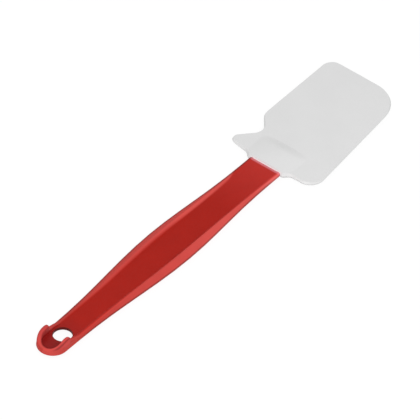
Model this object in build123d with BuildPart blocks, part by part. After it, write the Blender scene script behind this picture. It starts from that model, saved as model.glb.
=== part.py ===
from build123d import *
import math
import os

# Flat scraper spatula: a moulded nylon handle, and a silicone blade moulded over the handle's tang.
# Millimetres. +X runs from the handle's end to the blade's tip and +Z is up. The mid plane of both
# mouldings is Z zero, and the origin is the centre of the hanging hole.

# Handle, along X from the hanging hole
end_centre_reach = 10.0
swell_reach = 111.5
neck_reach = 211.0

# Handle section at the hook end, at the swell and at the neck. Each rim rises from the web to a crest, then
# slopes gently down to its outer side.
end_half_width = 11.2
swell_half_width = 17.6
neck_half_width = 13.1
end_crest_y = 8.6
swell_crest_y = 12.0
neck_crest_y = 11.4
end_crest_z = 1.5
swell_crest_z = 3.0
neck_crest_z = 1.6
rim_flank_width = 1.7
rim_side_height = 2.0
rim_side_rounding = 1.0
rim_crest_rounding = 1.2
rim_foot_rounding = 2.0
web_thickness = 2.2
neck_web_thickness = 2.8
neck_blend_length = 26.0

# Hanging hole and hook lip
hole_radius = 6.7
lip_outer_radius = 11.0
lip_inner_radius = 7.4
lip_taper = 2.0
lip_rounding = 1.5
lip_tip_slant = 4.0
lip_tip_reach = -3.2
toe_outer_radius = 10.9
toe_inner_radius = 7.7
toe_rounding = 0.8

# Crest lines in a side view: the lip's, from past the handle's end to the tips of its horns, and the
# lower toe's, on to where it sinks into the rims
lip_crest = [(-23.0, 2.2), (-19.0, 2.9), (-14.0, 5.5), (-9.5, 7.8), (-6.6, 8.1), (-1.0, 6.4)]
lip_crest_fall = 0.2
toe_crest = [(-23.0, 0.9), (-12.0, 1.6), (-4.0, 3.6), (0.0, 3.0), (8.0, 0.9)]
toe_crest_fall = 0.3

# Neck in the socket, tang and the windows that lock the silicone
socket_depth = 5.0
tang_length = 48.0
tang_base_width = 21.0
tang_tip_width = 16.0
tang_thickness = 2.2
tang_corner_radius = 5.0
window_radius = 3.6
window_shares = [0.23, 0.51, 0.79]

# Blade plan, along X from the socket's mouth. Y is positive on the notched side.
blade_length = 110.0
mouth_edge = 14.7
base_x = 3.8
base_root_y = 19.0
shoulder_edge = 39.8
tip_edge = 29.3
notched_edge = 33.1
beak_apex_x = 6.9
beak_apex_y = 39.4
notch_root_x = 25.6
notch_root_y = 21.3
notch_end_x = 39.5
base_root_radius = 5.0
beak_radius = 4.2
notch_radius = 7.5
notch_end_radius = 10.0
notched_corner_radius = 8.5
tip_corner_radius = 23.0
shoulder_radius = 11.0

# Blade thickness, crowned along the middle and thinner towards the tip
base_crown_thickness = 4.4
tip_crown_thickness = 2.4
base_edge_thickness = 1.4
tip_edge_thickness = 1.1
blade_edge_draft = 28.0

# Socket boss over the tang: a low swelling that is thickest at its crest and sinks into the blade beyond it
# and at both sides
boss_half_span = 20.0
boss_side_thickness = 3.2
boss_mouth_thickness = 5.4
boss_crest_thickness = 7.6
boss_end_thickness = 3.4
boss_crest_reach = 16.8
boss_fall = 10.0
boss_stages = 5

# How far every cutter runs past what it cuts
overrun = 5.0

# Sections of the handle from the end to the swell and from the swell to the socket, and how sharply the
# swell rises and falls
rising_count = 8
falling_count = 7
rising_power = 1.4
falling_power = 1.6

# How far a face must look upward to count as part of a top
upward_share = 0.2


def ease(share):
    """A cosine ramp from zero to one."""
    return (1 - math.cos(math.pi * share)) / 2


def between(first, last, share):
    """The value a share of the way from first to last."""
    return first + (last - first) * share


def faces_up(face):
    """True for a face that looks upward, level or sloping."""
    return face.normal_at().Z > upward_share


def rim_corners(half_width, crest_y, crest_z, web):
    """Corners of the upper half of a rim, from its foot on the web to its outer side, and their rounding."""
    corners = [
        (crest_y - rim_flank_width, web / 2),
        (crest_y, crest_z),
        (half_width, rim_side_height / 2),
    ]
    return corners, [rim_foot_rounding, rim_crest_rounding, rim_side_rounding]


def handle_section(x, half_width, crest_y, crest_z, web):
    """A thin web between two rims, the same above and below the mid plane."""
    corners, rounding = rim_corners(half_width, crest_y, crest_z, web)
    upper = corners[::-1] + [(-y, z) for y, z in corners]
    upper_rounding = rounding[::-1] + rounding
    with BuildSketch(Plane.YZ.offset(x)) as section:
        with BuildLine():
            FilletPolyline(
                *upper,
                *[(y, -z) for y, z in reversed(upper)],
                radius=upper_rounding + upper_rounding[::-1],
                close=True,
            )
        make_face()
    return section.sketch


def swell_section(x, grown, slim_half_width, slim_crest_y, slim_crest_z):
    """A section between a slim end of the handle, grown zero, and the swell, grown one."""
    half_width = between(slim_half_width, swell_half_width, grown)
    crest_y = between(slim_crest_y, swell_crest_y, grown)
    crest_z = between(slim_crest_z, swell_crest_z, grown)
    blend = max(0, x - tang_start + neck_blend_length) / neck_blend_length
    web = between(web_thickness, neck_web_thickness, ease(blend))
    return handle_section(x, half_width, crest_y, crest_z, web)


def handle_sections():
    """Sections from the centre of the hook end to the bottom of the blade's socket."""
    sections = []
    for i in range(rising_count):
        share = i / rising_count
        x = between(-end_centre_reach, swell_reach, share)
        grown = ease(share) ** rising_power
        sections.append(swell_section(x, grown, end_half_width, end_crest_y, end_crest_z))
    for i in range(falling_count + 1):
        share = i / falling_count
        x = between(swell_reach, tang_start, share)
        grown = ease(1 - share) ** falling_power
        sections.append(swell_section(x, grown, neck_half_width, neck_crest_y, neck_crest_z))
    return sections


def hook_plan(radius, reach):
    """Plan of the hook: round at the end, straight sides on to the given reach."""
    with BuildSketch() as plan:
        with BuildLine():
            Polyline(
                (-end_centre_reach, -radius),
                (reach, -radius),
                (reach, radius),
                (-end_centre_reach, radius),
            )
            ThreePointArc(
                (-end_centre_reach, radius),
                (-end_centre_reach - radius, 0),
                (-end_centre_reach, -radius),
            )
        make_face()
    return plan.sketch


def lip_blank(radius, crest, fall):
    """The hook's plan leaning in as it rises, up to a crest line that is given in a side view."""
    reach = crest[-1][0]
    past_end = crest[0][0]
    past_top = lip_blank_height + overrun
    with BuildPart() as blank:
        extrude(hook_plan(radius, reach), amount=lip_blank_height, taper=lip_taper)
        with BuildSketch(Plane.XZ.offset(-radius - overrun)):
            with BuildLine():
                Spline(crest, tangents=[(1, 0), (1, -fall)])
                Polyline(
                    crest[-1],
                    (reach + overrun, crest[-1][1]),
                    (reach + overrun, past_top),
                    (past_end, past_top),
                    crest[0],
                )
            make_face()
        extrude(amount=2 * (radius + overrun), mode=Mode.SUBTRACT)
    return blank.part


def lens(x, crown, edge, half_span):
    """A section of the crowned blade: flat edges and two shallow arcs."""
    with BuildSketch(Plane.YZ.offset(x)) as section:
        with BuildLine():
            ThreePointArc((-half_span, edge / 2), (0, crown / 2), (half_span, edge / 2))
            Line((half_span, edge / 2), (half_span, -edge / 2))
            ThreePointArc((half_span, -edge / 2), (0, -crown / 2), (-half_span, -edge / 2))
            Line((-half_span, -edge / 2), (-half_span, edge / 2))
        make_face()
    return section.sketch


def boss_sections():
    """Sections from the socket's mouth over the crest to where the boss has sunk into the blade."""
    sections = []
    for i in range(boss_stages):
        share = i / boss_stages
        thickness = between(boss_mouth_thickness, boss_crest_thickness, math.sin(math.pi / 2 * share))
        x = neck_reach + boss_crest_reach * share
        sections.append(lens(x, thickness, boss_side_thickness, boss_half_span))
    for i in range(boss_stages + 1):
        share = i / boss_stages
        thickness = between(boss_crest_thickness, boss_end_thickness, ease(share))
        x = neck_reach + boss_crest_reach + boss_fall * share
        sections.append(lens(x, thickness, boss_side_thickness, boss_half_span))
    return sections


end_centre = (-end_centre_reach, 0)
lip_blank_height = max(z for x, z in lip_crest) + overrun
tang_start = neck_reach + socket_depth
tang_end = neck_reach + tang_length
tip_reach = neck_reach + blade_length

# Toe of the hook lip: it carries the horns down to the rims
with BuildPart() as toe:
    add(lip_blank(toe_outer_radius, toe_crest, toe_crest_fall))
    crest_edges = toe.faces().filter_by(faces_up).edges()
    fillet(crest_edges.group_by(Axis.X)[:-1], toe_rounding)
    pocket = hook_plan(toe_inner_radius, toe_crest[-1][0] + overrun)
    extrude(pocket, amount=lip_blank_height, mode=Mode.SUBTRACT)

# Hook lip: a wall round the end that rises to two horns
with BuildPart() as lip:
    add(lip_blank(lip_outer_radius, lip_crest, lip_crest_fall))
    pocket = hook_plan(lip_inner_radius, lip_crest[-1][0] + overrun)
    extrude(pocket, amount=lip_blank_height, mode=Mode.SUBTRACT)
    with BuildSketch() as tip_cut:
        with BuildLine():
            Polyline(
                (overrun, 2 * lip_outer_radius),
                (lip_tip_reach + lip_tip_slant, 2 * lip_outer_radius),
                (lip_tip_reach - lip_tip_slant, 0),
                (lip_tip_reach + lip_tip_slant, -2 * lip_outer_radius),
                (overrun, -2 * lip_outer_radius),
                close=True,
            )
        make_face()
    extrude(tip_cut.sketch, amount=lip_blank_height, mode=Mode.SUBTRACT)
    rises = lip.edges().filter_by(lambda edge: abs((edge @ 1 - edge @ 0).Z) > lip_rounding)
    rising_tips = rises.filter_by(lambda edge: edge.center().X > lip_tip_reach - lip_tip_slant)
    fillet(lip.faces().filter_by(faces_up).edges() + rising_tips, lip_rounding)

with BuildPart() as handle:
    add(toe.part)
    add(lip.part)

    # Web and rims, lofted along the handle and turned round its end
    loft(sections=handle_sections(), ruled=True)
    with BuildSketch(Plane(origin=end_centre, x_dir=(0, 1, 0), z_dir=(1, 0, 0))):
        corners, rounding = rim_corners(end_half_width, end_crest_y, end_crest_z, web_thickness)
        with BuildLine():
            FilletPolyline(
                (0, web_thickness / 2),
                (0, -web_thickness / 2),
                *[(y, -z) for y, z in corners],
                *corners[::-1],
                radius=[0, 0] + rounding + rounding[::-1],
                close=True,
            )
        make_face()
    revolve(axis=Axis(end_centre, (0, 0, 1)), revolution_arc=180)

    # Tang with its windows
    with BuildSketch(Plane.XY.offset(-tang_thickness / 2)) as tang:
        with BuildLine():
            FilletPolyline(
                (tang_start, -tang_base_width / 2),
                (tang_end, -tang_tip_width / 2),
                (tang_end, tang_tip_width / 2),
                (tang_start, tang_base_width / 2),
                radius=[0, tang_corner_radius, tang_corner_radius, 0],
                close=True,
            )
        make_face()
        with Locations([(between(tang_start, tang_end, share), 0) for share in window_shares]):
            Circle(window_radius, mode=Mode.SUBTRACT)
    extrude(amount=tang_thickness)

    # Hanging hole
    Hole(hole_radius)

handle.part.label = "handle"

# Both faces of the blade: crowned all the way along, and swelling over the socket
with BuildPart() as swelling:
    half_span = shoulder_edge + overrun
    crowns = [
        lens(neck_reach, base_crown_thickness, base_edge_thickness, half_span),
        lens(tip_reach + overrun, tip_crown_thickness, tip_edge_thickness, half_span),
    ]
    loft(sections=crowns, ruled=True)
    loft(sections=boss_sections(), ruled=True)

with BuildPart() as blade:
    # Plan of the blade, with drafted edges on both sides of its parting line
    with BuildSketch() as plan:
        with BuildLine():
            FilletPolyline(
                (neck_reach, -mouth_edge),
                (neck_reach + base_x, -base_root_y),
                (neck_reach + base_x, -shoulder_edge),
                (tip_reach, -tip_edge),
                (tip_reach, notched_edge),
                (neck_reach + notch_end_x, notched_edge),
                (neck_reach + notch_root_x, notch_root_y),
                (neck_reach + beak_apex_x, beak_apex_y),
                (neck_reach + base_x, base_root_y),
                (neck_reach, mouth_edge),
                radius=[
                    0,
                    base_root_radius,
                    shoulder_radius,
                    tip_corner_radius,
                    notched_corner_radius,
                    notch_end_radius,
                    notch_radius,
                    beak_radius,
                    base_root_radius,
                    0,
                ],
                close=True,
            )
        make_face()
    extrude(amount=base_crown_thickness, taper=blade_edge_draft)
    mirror(about=Plane.XY)
    add(swelling.part, mode=Mode.INTERSECT)

    # The silicone flows round the neck and the tang, and through the tang's windows
    add(handle.part, mode=Mode.SUBTRACT)

blade.part.label = "blade"

os.makedirs("parts", exist_ok=True)
export_step(handle.part, "parts/handle.step")
export_step(blade.part, "parts/blade.step")
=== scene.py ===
# %% [markdown]
# # A scraper spatula, dressed for the camera
#
# The real object is a kitchen scraper in two pieces: a red nylon handle that swells at the grip and ends in a
# hanging hole with a hook lip, and a white silicone blade moulded over the handle's tang. The solids come
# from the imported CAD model, so this lesson loads them as a fixed frame, sets up a camera and soft light, and
# then gives each piece the surface of the material it is moulded from.

# %% Load the frame and remember its box
import math

import bpy
from mathutils import Matrix, Vector


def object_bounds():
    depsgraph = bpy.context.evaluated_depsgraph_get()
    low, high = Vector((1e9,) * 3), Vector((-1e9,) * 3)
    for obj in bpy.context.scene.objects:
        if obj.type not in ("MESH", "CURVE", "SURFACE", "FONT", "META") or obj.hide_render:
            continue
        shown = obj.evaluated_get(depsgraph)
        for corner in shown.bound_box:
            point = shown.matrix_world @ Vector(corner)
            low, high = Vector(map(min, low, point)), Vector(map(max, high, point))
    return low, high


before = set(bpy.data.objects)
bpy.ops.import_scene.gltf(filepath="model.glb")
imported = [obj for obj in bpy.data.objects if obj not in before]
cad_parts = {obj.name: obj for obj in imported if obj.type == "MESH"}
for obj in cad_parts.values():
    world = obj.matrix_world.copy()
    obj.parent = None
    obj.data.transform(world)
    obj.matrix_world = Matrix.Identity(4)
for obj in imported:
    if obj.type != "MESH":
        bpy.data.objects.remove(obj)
cad_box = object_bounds()
print("pieces in the frame:", sorted(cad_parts))

# %% [markdown]
# ## The camera
#
# The picture looks down on the spatula from its hook end, a little steeper than forty degrees, with a long
# lens, so parallel edges stay parallel. A camera can be placed by eye, or by writing the direction as two
# angles, the sideways axis and the upward axis of the picture. The angles are the better choice here: the
# place that the picture's centre looks at is then two plain lengths along those axes, and any error shows up
# as a shift that is easy to read.

# %% Camera at the viewing angle
view_azimuth = math.radians(-50.54)
view_elevation = math.radians(43.36)
view_distance = 12.8
picture_width = 0.27813
centre_right = 0.09758
centre_up = 0.08311

right = Vector((math.cos(view_azimuth), math.sin(view_azimuth), 0))
back = Vector((
    math.sin(view_azimuth) * math.cos(view_elevation),
    -math.cos(view_azimuth) * math.cos(view_elevation),
    math.sin(view_elevation),
))
up = back.cross(right)
looked_at = right * centre_right + up * centre_up

camera_data = bpy.data.cameras.new("view_camera")
camera_data.lens = camera_data.sensor_width * view_distance / picture_width
camera_data.clip_start = 0.1
camera_data.clip_end = 50
camera = bpy.data.objects.new("view_camera", camera_data)
camera.matrix_world = Matrix.Translation(looked_at + back * view_distance) @ Matrix((
    (right.x, up.x, back.x, 0),
    (right.y, up.y, back.y, 0),
    (right.z, up.z, back.z, 0),
    (0, 0, 0, 1),
))
bpy.context.scene.collection.objects.link(camera)
bpy.context.scene.camera = camera
bpy.context.scene.view_settings.view_transform = "Standard"
print("camera lens in mm:", round(camera_data.lens))

# %% [markdown]
# ## Floor, background and light
#
# The spatula lies on a white sweep, the kind of background that leaves hardly any shadow. One way would be to
# flood the floor with light until it burns out, but that would bleach the silicone too. Instead the floor and
# the world look white only where the camera or a reflection sees them, through the Light Path node, while the
# light that falls on the object stays at a plain level. The floor keeps a share of its real shading, so a
# faint contact shadow is left.

# %% Small helpers for node trees
def add_node(tree, kind, **values):
    """A new node whose named input sockets get the given values."""
    node = tree.nodes.new(kind)
    for name, value in values.items():
        node.inputs[name.replace("_", " ")].default_value = value
    return node


def math_node(tree, operation, first, second=None, third=None):
    """A Math node on sockets or plain numbers. It returns the result's socket."""
    node = tree.nodes.new("ShaderNodeMath")
    node.operation = operation
    for slot, value in zip(node.inputs, (first, second, third)):
        if isinstance(value, bpy.types.NodeSocket):
            tree.links.new(value, slot)
        elif value is not None:
            slot.default_value = value
    return node.outputs[0]


def seen_directly(tree):
    """One for camera, mirror and glass rays, zero for the rays that light the object."""
    path = tree.nodes.new("ShaderNodeLightPath")
    seen = math_node(tree, "MAXIMUM", path.outputs["Is Camera Ray"], path.outputs["Is Glossy Ray"])
    return math_node(tree, "MAXIMUM", seen, path.outputs["Is Transmission Ray"])


# %% A pale floor under the lowest point of the spatula
white = (1, 1, 1, 1)
paper_white = (0.86, 0.86, 0.86, 1)
paper_glow = 1.04
floor_size = 6.0
floor_gap = 0.0001
floor_z = cad_box[0].z - floor_gap
floor_shadow_share = 0.12

floor_mesh = bpy.data.meshes.new("floor")
half = floor_size / 2
floor_mesh.from_pydata(
    [(-half, -half, floor_z), (half, -half, floor_z), (half, half, floor_z), (-half, half, floor_z)],
    [],
    [(0, 1, 2, 3)],
)
floor = bpy.data.objects.new("floor", floor_mesh)
bpy.context.scene.collection.objects.link(floor)

paper = bpy.data.materials.new("white_sweep")
paper.use_nodes = True
tree = paper.node_tree
tree.nodes.clear()
shaded = add_node(tree, "ShaderNodeBsdfDiffuse", Color=paper_white)
glow = add_node(tree, "ShaderNodeEmission", Color=white, Strength=paper_glow)
blend = tree.nodes.new("ShaderNodeMixShader")
tree.links.new(math_node(tree, "MULTIPLY", seen_directly(tree), 1 - floor_shadow_share), blend.inputs[0])
tree.links.new(shaded.outputs[0], blend.inputs[1])
tree.links.new(glow.outputs[0], blend.inputs[2])
output = tree.nodes.new("ShaderNodeOutputMaterial")
tree.links.new(blend.outputs[0], output.inputs["Surface"])
floor_mesh.materials.append(paper)
print("the floor is", round(-1000 * floor_z, 2), "mm below the mid plane of the handle")

# %% Even light from all round
ambient_level = 0.74
backdrop_level = 1.0
world = bpy.data.worlds.new("studio")
world.use_nodes = True
tree = world.node_tree
tree.nodes.clear()
ambient = add_node(tree, "ShaderNodeBackground", Color=white, Strength=ambient_level)
backdrop = add_node(tree, "ShaderNodeBackground", Color=white, Strength=backdrop_level)
blend = tree.nodes.new("ShaderNodeMixShader")
tree.links.new(seen_directly(tree), blend.inputs[0])
tree.links.new(ambient.outputs[0], blend.inputs[1])
tree.links.new(backdrop.outputs[0], blend.inputs[2])
output = tree.nodes.new("ShaderNodeOutputWorld")
tree.links.new(blend.outputs[0], output.inputs["Surface"])
bpy.context.scene.world = world
print("the light from all round is", ambient_level / backdrop_level, "of the backdrop's white")

# %% [markdown]
# The rims that face the viewer are the brightest part of the handle, and the blade's slope towards the handle
# is brighter than the one beyond it. So the main lamp stands on the near side of the hook end. A big square
# area lamp keeps the edges of every shade soft, as a photographer's softbox does.

# %% One large softbox from the near side
softbox_direction = Vector((-0.53, -0.60, 0.6)).normalized()
softbox_distance = 2.6
softbox_side = 1.8
softbox_power = 34.4

softbox_data = bpy.data.lights.new("softbox", "AREA")
softbox_data.energy = softbox_power
softbox_data.size = softbox_side
softbox = bpy.data.objects.new("softbox", softbox_data)
middle = (cad_box[0] + cad_box[1]) / 2
softbox.location = middle + softbox_direction * softbox_distance
softbox.rotation_mode = "QUATERNION"
softbox.rotation_quaternion = softbox_direction.to_track_quat("Z", "Y")
bpy.context.scene.collection.objects.link(softbox)
print("softbox at", [round(c, 2) for c in softbox.location])

# %% [markdown]
# ## Moulded nylon
#
# The handle is one moulding, but it doesn't look one red. The recessed panel is deep and quiet, the rims are
# lighter and pinker, and both get paler towards the blade. All of this is light and shade painted into the
# colour: the panel's deeper red is painted shade, the rims' lighter, pinker red is painted light and sheen,
# and the paling towards the blade is painted light thrown back from the white blade. The shading could be
# left to the lamps alone, but then the rims would need a hard light that the rest of the picture denies. Or
# the panel and the rims could be two materials, but they are one surface without an edge between them.
# So the colour itself changes across the section and along the handle. Curves give the half widths of the
# panel and of the whole handle at each place along it, and short colour ramps give the reds.
#
# The panel has one curve for each side, because the bright band on the far rim starts a little nearer the
# middle than the one on the near rim.

# %% Half widths along the handle: place from the hanging hole and width, in metres
end_centre = -0.010
near_half_widths = [
    (-0.020, 0.0078),
    (0.020, 0.0082),
    (0.050, 0.0087),
    (0.080, 0.0096),
    (0.112, 0.0105),
    (0.150, 0.0102),
    (0.185, 0.0103),
    (0.203, 0.0108),
    (0.216, 0.0110),
]
far_half_widths = [
    (-0.020, 0.0078),
    (0.020, 0.0079),
    (0.050, 0.0081),
    (0.080, 0.0095),
    (0.112, 0.0104),
    (0.150, 0.0095),
    (0.170, 0.0093),
    (0.185, 0.0097),
    (0.203, 0.0108),
    (0.216, 0.0110),
]
outer_half_widths = [
    (-0.020, 0.0112),
    (0.000, 0.0113),
    (0.020, 0.0116),
    (0.050, 0.0136),
    (0.080, 0.0162),
    (0.112, 0.0176),
    (0.150, 0.0157),
    (0.185, 0.0134),
    (0.216, 0.0131),
]
widest = max(outer_half_widths, key=lambda place: place[1])
print("the handle is widest at", round(1000 * widest[0]), "mm from the hanging hole")

# %% Reds along the handle: place from the hanging hole, in metres, and colour
# painted shade: the panel's deeper red, darkest in the hook pocket, with painted light in its paler last stop
# next to the white blade
panel_reds_painted_light_and_shade = [
    (-0.012, (0.250, 0.0085, 0.0075)),
    (0.020, (0.366, 0.0080, 0.0022)),
    (0.162, (0.366, 0.0080, 0.0022)),
    (0.212, (0.460, 0.0225, 0.0160)),
]
# painted light and sheen: the rims' lighter, pinker reds, palest next to the white blade
rim_reds_painted_light_and_sheen = [
    (-0.019, (0.600, 0.0640, 0.0530)),
    (-0.012, (0.530, 0.0480, 0.0390)),
    (0.016, (0.480, 0.0380, 0.0290)),
    (0.050, (0.532, 0.0500, 0.0410)),
    (0.112, (0.581, 0.0617, 0.0520)),
    (0.150, (0.630, 0.0760, 0.0640)),
    (0.185, (0.603, 0.0690, 0.0580)),
    (0.203, (0.680, 0.1180, 0.1080)),
]
# painted light on the hook lip's top, lightest at the round end
lip_top_reds_painted_light = [
    (-0.020, (0.640, 0.0720, 0.0620)),
    (-0.0165, (0.575, 0.0610, 0.0540)),
    (-0.0125, (0.510, 0.0520, 0.0470)),
]
# painted shade on the far rim's outer slope
far_slope_red = (0.545, 0.0450, 0.0360)
# painted light where the nylon meets the white silicone
mouth_red_painted_light = (0.620, 0.1700, 0.1900)
# painted shade on the hook lip's steep flanks
lip_flank_red_painted_shade = (0.500, 0.0450, 0.0410)
print("reds on the panel:", len(panel_reds_painted_light_and_shade), "on the rims:", len(rim_reds_painted_light_and_sheen), "on the hook lip:", len(lip_top_reds_painted_light))

# %% Curves and ramps that follow the handle
curve_start = -0.03
curve_length = 0.25
curve_top = 0.02


def curve_share(x):
    """The share of the curves' length at a place along the handle."""
    return (x - curve_start) / curve_length


def width_along(tree, share, half_widths):
    """A socket, in metres, that runs through the given half widths along the handle."""
    curve = tree.nodes.new("ShaderNodeFloatCurve")
    points = curve.mapping.curves[0].points
    places = [(curve_share(x), w / curve_top) for x, w in half_widths]
    points[0].location = places[0]
    points[1].location = places[-1]
    for place in places[1:-1]:
        points.new(*place)
    curve.mapping.update()
    tree.links.new(share, curve.inputs["Value"])
    return math_node(tree, "MULTIPLY", curve.outputs[0], curve_top)


def reds_along(tree, share, reds):
    """A colour socket that runs through the given reds along the handle."""
    ramp = tree.nodes.new("ShaderNodeValToRGB")
    elements = ramp.color_ramp.elements
    for end, (x, red) in ((0, reds[0]), (-1, reds[-1])):
        elements[end].position = curve_share(x)
        elements[end].color = (*red, 1)
    for x, red in reds[1:-1]:
        elements.new(curve_share(x)).color = (*red, 1)
    tree.links.new(share, ramp.inputs[0])
    return ramp.outputs["Color"]


# %% [markdown]
# A mask is a number from zero to one that says how much a point belongs to some region: the rim, the lip, the
# wall of the hole. Soft steps make masks out of lengths, and two small words combine them: *both* is the
# product of two masks and *but* is the opposite of one. Colours are mixed by a mask, and shade is taken off
# by one. The limits of each soft step are named as a pair, where it starts and where it is full.

# %% Masks
def soft_step(tree, value, low, high):
    """Zero below low, one above high, smooth between them."""
    step = tree.nodes.new("ShaderNodeMapRange")
    step.interpolation_type = "SMOOTHSTEP"
    step.inputs["From Min"].default_value = low
    step.inputs["From Max"].default_value = high
    tree.links.new(value, step.inputs["Value"])
    return step.outputs[0]


def but(tree, mask):
    """The opposite of a mask."""
    return math_node(tree, "SUBTRACT", 1.0, mask)


def both(tree, first, second):
    """The product of two masks."""
    return math_node(tree, "MULTIPLY", first, second)


# %% Mixes and shade
def less(tree, mask, depth):
    """One, less the depth where the mask is one."""
    return math_node(tree, "MULTIPLY_ADD", mask, -depth, 1.0)


def darken(tree, shade, mask, depth):
    """The shade, less a share of itself where the mask is one."""
    return both(tree, shade, less(tree, mask, depth))


def colour_mix(tree, factor, first, second):
    """A socket that runs from the first colour to the second. Each is a socket or a plain colour."""
    mix = tree.nodes.new("ShaderNodeMix")
    mix.data_type = "RGBA"
    tree.links.new(factor, mix.inputs["Factor"])
    for slot, colour in ((mix.inputs["A"], first), (mix.inputs["B"], second)):
        if isinstance(colour, bpy.types.NodeSocket):
            tree.links.new(colour, slot)
        else:
            slot.default_value = (*colour, 1)
    return mix.outputs["Result"]


def scaled(tree, colour, scale):
    """A colour socket times a number socket."""
    product = tree.nodes.new("ShaderNodeVectorMath")
    product.operation = "SCALE"
    tree.links.new(colour, product.inputs[0])
    tree.links.new(scale, product.inputs["Scale"])
    return product.outputs[0]


def spread(tree, value, low, high):
    """A value between zero and one, spread over a new range."""
    wide = tree.nodes.new("ShaderNodeMapRange")
    wide.inputs["To Min"].default_value = low
    wide.inputs["To Max"].default_value = high
    tree.links.new(value, wide.inputs["Value"])
    return wide.outputs[0]


# %% [markdown]
# The first masks need to know where on the handle a point lies. Along the handle that is plain X. Across it,
# the distance is taken from the middle line, and from the centre of the round end once past it, so that rims
# and panel follow the end round.

# %% Places on the handle
def split(tree, vector):
    """The three parts of a vector socket."""
    parts = tree.nodes.new("ShaderNodeSeparateXYZ")
    tree.links.new(vector, parts.inputs[0])
    return parts.outputs


def distance(tree, first, second):
    """The length whose two legs are the given sockets."""
    squares = [math_node(tree, "POWER", leg, 2.0) for leg in (first, second)]
    return math_node(tree, "SQRT", math_node(tree, "ADD", *squares))


def handle_places(tree, place):
    """Named sockets for where a point lies on the handle."""
    along, across, height = split(tree, place.outputs["Object"])
    share = math_node(tree, "MULTIPLY_ADD", along, 1 / curve_length, -curve_start / curve_length)
    past_centre = math_node(tree, "MINIMUM", math_node(tree, "SUBTRACT", along, end_centre), 0.0)
    out = distance(tree, past_centre, across)
    far = math_node(tree, "GREATER_THAN", across, 0.0)
    near_width = width_along(tree, share, near_half_widths)
    far_extra = math_node(tree, "SUBTRACT", width_along(tree, share, far_half_widths), near_width)
    panel_width = math_node(tree, "MULTIPLY_ADD", far, far_extra, near_width)
    return {
        "along": along,
        "share": share,
        "height": math_node(tree, "ABSOLUTE", height),
        "upward": split(tree, place.outputs["Normal"])[2],
        "out": out,
        "past_panel": math_node(tree, "SUBTRACT", out, panel_width),
        "in_from_edge": math_node(tree, "SUBTRACT", width_along(tree, share, outer_half_widths), out),
        "from_hole": distance(tree, along, across),
        "far": far,
    }


lip_heights = (0.0024, 0.0044)


def lip_mask(tree, at):
    """One on the hook lip, which stands above everything else on the handle."""
    return soft_step(tree, at["height"], *lip_heights)


# %% [markdown]
# With the places known, the reds are laid over one another from the panel outward. The far rim's outer slope
# turns away from the light and gets a deeper red, painted shade, and the far rim fades into the panel at the
# neck. Against the silicone, white light comes back into the last millimetre of the nylon, and a paler red
# there is painted light. The hook lip has its own reds: its top is lighter with painted light, and its steep
# flanks are deeper than its top, with painted shade.

# %% Where each red of the handle begins: lengths in metres, and how far a surface looks upward
rim_start = (-0.0006, 0.0014)
near_rim_shift = 0.0006
far_slope_start = (0.0020, 0.0030)
far_neck = (0.184, 0.204)
far_neck_shift = 0.004
nylon_mouth = (0.2094, 0.2108)
lip_top_upward = (0.70, 0.85)


def nylon_reds(tree, at):
    """Panel, rims and lip in their reds, with painted light and shade laid in."""
    on_far_neck = both(tree, at["far"], soft_step(tree, at["along"], *far_neck))
    past_panel = math_node(tree, "MULTIPLY_ADD", on_far_neck, -far_neck_shift, at["past_panel"])
    past_panel = math_node(tree, "MULTIPLY_ADD", but(tree, at["far"]), -near_rim_shift, past_panel)
    far_slope = both(tree, at["far"], soft_step(tree, at["past_panel"], *far_slope_start))
    far_slope = both(tree, far_slope, but(tree, on_far_neck))

    panel = reds_along(tree, at["share"], panel_reds_painted_light_and_shade)
    rim = colour_mix(tree, far_slope, reds_along(tree, at["share"], rim_reds_painted_light_and_sheen), far_slope_red)
    reds = colour_mix(tree, soft_step(tree, past_panel, *rim_start), panel, rim)
    # painted light at the mouth, next to the silicone
    reds = colour_mix(tree, soft_step(tree, at["along"], *nylon_mouth), reds, mouth_red_painted_light)
    # painted light on the lip's top and painted shade on its steep flanks
    lip_top = reds_along(tree, at["share"], lip_top_reds_painted_light)
    lip = colour_mix(tree, soft_step(tree, at["upward"], *lip_top_upward), lip_flank_red_painted_shade, lip_top)
    return colour_mix(tree, lip_mask(tree, at), reds, lip)


# %% [markdown]
# Narrow places of a moulding look darker than the lamps alone make them: the rims' outer sides, the crease on
# the near horn, the inside of the hook's wall and the wall of the hole. The near rim's inner flank is the one
# place that is lighter, because the panel shines into it. Light as even as this brings out too little of such
# shade by itself. It could be painted on by hand, but here each place is found from the lengths and slopes of
# the moulding, so that it stays sharp at any size of picture.

# %% How deep each shade is, and where it lies
side_depth = 0.43
side_upward = (0.45, 0.90)
side_start = (0.0018, 0.0026)
far_edge_reach = (0.0010, 0.0022)
hook_reach = (-0.002, 0.016)
hook_side_share = 0.3

near_flank_glow = 0.20
near_flank_start = (-0.0006, 0.0)
near_flank_end = (0.0014, 0.0020)

crease_depth = 0.40
crease_foot_upward = (0.30, 0.50)
crease_top_upward = (0.76, 0.92)
crease_out = (0.0092, 0.0098)

inner_wall_depth = 0.30
inner_wall_upward = (0.3, 0.8)
inner_wall_out = (0.0082, 0.0090)

hole_depth = 0.65
hole_wall = (0.0067, 0.0070)
print("deepest shade, in the wall of the hanging hole:", hole_depth)


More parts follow.
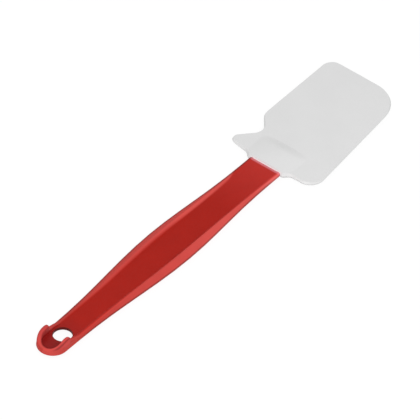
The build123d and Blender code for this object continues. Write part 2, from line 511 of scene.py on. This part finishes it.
# %% Shade in the handle's narrow places
def nylon_shade(tree, at):
    """One in the open, less in the narrow places."""
    def rising(name, limits):
        return soft_step(tree, at[name], *limits)

    def falling(name, limits):
        return but(tree, rising(name, limits))

    near = but(tree, at["far"])
    on_lip = lip_mask(tree, at)
    steep = but(tree, soft_step(tree, math_node(tree, "ABSOLUTE", at["upward"]), *side_upward))
    on_side = both(tree, steep, rising("past_panel", side_start))
    far_edge = both(tree, at["far"], falling("in_from_edge", far_edge_reach))
    on_edge = both(tree, math_node(tree, "MAXIMUM", on_side, far_edge), but(tree, on_lip))
    off_hook = spread(tree, rising("along", hook_reach), hook_side_share, 1.0)
    shade = less(tree, both(tree, on_edge, off_hook), side_depth)

    near_flank = both(tree, rising("past_panel", near_flank_start), falling("past_panel", near_flank_end))
    shade = darken(tree, shade, both(tree, near_flank, near), -near_flank_glow)

    crease = both(tree, rising("upward", crease_foot_upward), falling("upward", crease_top_upward))
    near_crease = both(tree, both(tree, crease, near), rising("out", crease_out))
    shade = darken(tree, shade, both(tree, near_crease, on_lip), crease_depth)

    inner_wall = both(tree, falling("upward", inner_wall_upward), falling("out", inner_wall_out))
    shade = darken(tree, shade, both(tree, inner_wall, on_lip), inner_wall_depth)
    return darken(tree, shade, falling("from_hole", hole_wall), hole_depth)


# %% [markdown]
# Satin nylon has two scales of detail. Close up it carries the fine even grain of the mould's finish, a few
# tenths of a millimetre across. Further away the colour is faintly cloudy, where the plastic flowed and
# cooled. A scanned picture of nylon could give both, but it would have to be wrapped round the piece. Noise
# textures in object coordinates need no wrapping, and the grain has one true size all over the piece.

# %% Noise and fine relief
def noise_at(tree, place, scale, detail, roughness):
    """A noise value in object coordinates."""
    noise = add_node(tree, "ShaderNodeTexNoise", Scale=scale, Detail=detail, Roughness=roughness)
    tree.links.new(place.outputs["Object"], noise.inputs["Vector"])
    return noise.outputs[0]


def bump_from(tree, shader, value, strength, depth):
    """A fine relief that follows a noise value."""
    bump = add_node(tree, "ShaderNodeBump", Strength=strength, Distance=depth)
    tree.links.new(value, bump.inputs["Height"])
    tree.links.new(bump.outputs[0], shader.inputs["Normal"])


# %% Red nylon for the handle
nylon_clouds = {"scale": 90.0, "detail": 3.0, "roughness": 0.55}
nylon_cloud_shades = (0.91, 1.09)
nylon_grain = {"scale": 2600.0, "detail": 2.0, "roughness": 0.6}
nylon_grain_relief = {"strength": 0.12, "depth": 0.00005}
nylon_roughness = (0.40, 0.56)
nylon_specular = 0.12


def red_nylon():
    """Satin moulded nylon: deep red on the panel, lighter on the rims and the hook, in painted light and
    shade.
    """
    nylon = bpy.data.materials.new("red_nylon")
    nylon.use_nodes = True
    tree = nylon.node_tree
    shader = tree.nodes["Principled BSDF"]
    shader.inputs["Specular IOR Level"].default_value = nylon_specular

    place = tree.nodes.new("ShaderNodeTexCoord")
    at = handle_places(tree, place)
    clouds = spread(tree, noise_at(tree, place, **nylon_clouds), *nylon_cloud_shades)
    red = scaled(tree, nylon_reds(tree, at), both(tree, clouds, nylon_shade(tree, at)))
    tree.links.new(red, shader.inputs["Base Color"])

    grain = noise_at(tree, place, **nylon_grain)
    tree.links.new(spread(tree, grain, *nylon_roughness), shader.inputs["Roughness"])
    bump_from(tree, shader, grain, **nylon_grain_relief)
    return nylon


nylon = red_nylon()
print(nylon.name, "is made of", len(nylon.node_tree.nodes), "nodes")

# %% [markdown]
# ## Silicone
#
# The blade is white silicone, soft, slightly translucent and never quite even: it picks up faint grey clouds
# and a fine skin from the mould. A flat white would lose its form in the light, so the white is written a
# little under full brightness, with a very faint mottle, and the surface is rougher than the nylon's. The lip
# of the socket, where the silicone is thin over the nylon, is painted brighter and faintly pink, as painted
# light, and the near edges are a little darker, as painted shade. Light scattered inside the silicone could
# give the bright lip too, but that costs long renders for one thin line, so the lip is a mask like those on
# the handle.

# %% White silicone for the blade
darker_white = (0.695, 0.695, 0.695)
lighter_white = (0.740, 0.740, 0.740)
# painted light: a brighter, faintly pink white at the lip of the socket
mouth_white_painted_light = (0.95, 0.84, 0.86)
mouth_half_width = (0.0120, 0.0135)
silicone_mouth = (0.2113, 0.2124)
# painted shade: the faces that turn to the near side are a little darker
near_edge_painted_shade_depth = 0.10
near_edge_slope = (0.3, 0.7)

silicone_clouds = {"scale": 45.0, "detail": 4.0, "roughness": 0.5}
silicone_skin = {"scale": 1500.0, "detail": 3.0, "roughness": 0.6}
silicone_skin_relief = {"strength": 0.1, "depth": 0.00006}
silicone_roughness = (0.55, 0.72)
silicone_specular = 0.3


def white_silicone():
    """Matt moulded silicone with a faint cloudy tint, painted light at the socket's lip and painted shade on
    the near edges.
    """
    silicone = bpy.data.materials.new("white_silicone")
    silicone.use_nodes = True
    tree = silicone.node_tree
    shader = tree.nodes["Principled BSDF"]
    shader.inputs["Specular IOR Level"].default_value = silicone_specular

    place = tree.nodes.new("ShaderNodeTexCoord")
    along, across = split(tree, place.outputs["Object"])[:2]
    whites = colour_mix(tree, noise_at(tree, place, **silicone_clouds), darker_white, lighter_white)
    off_middle = soft_step(tree, math_node(tree, "ABSOLUTE", across), *mouth_half_width)
    past_mouth = soft_step(tree, along, *silicone_mouth)
    at_mouth = both(tree, but(tree, off_middle), but(tree, past_mouth))
    whites = colour_mix(tree, at_mouth, whites, mouth_white_painted_light)
    nearward = math_node(tree, "MULTIPLY", split(tree, place.outputs["Normal"])[1], -1.0)
    edge_shade = less(tree, soft_step(tree, nearward, *near_edge_slope), near_edge_painted_shade_depth)
    tree.links.new(scaled(tree, whites, edge_shade), shader.inputs["Base Color"])

    skin = noise_at(tree, place, **silicone_skin)
    tree.links.new(spread(tree, skin, *silicone_roughness), shader.inputs["Roughness"])
    bump_from(tree, shader, skin, **silicone_skin_relief)
    return silicone


silicone = white_silicone()
print(silicone.name, "is made of", len(silicone.node_tree.nodes), "nodes")

# %% [markdown]
# ## Dressing the two pieces
#
# The pieces come with the material slots of the CAD model. A finish could be added as a new slot, but then
# the faces would have to be told which slot they use, so the finish goes into the slots that are there.

# %% Each piece gets its finish
for name, finish in {"handle": nylon, "blade": silicone}.items():
    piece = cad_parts[name]
    for slot in piece.material_slots:
        slot.material = finish
    print(name, "wears", finish.name, "in its material slots:", len(piece.material_slots))
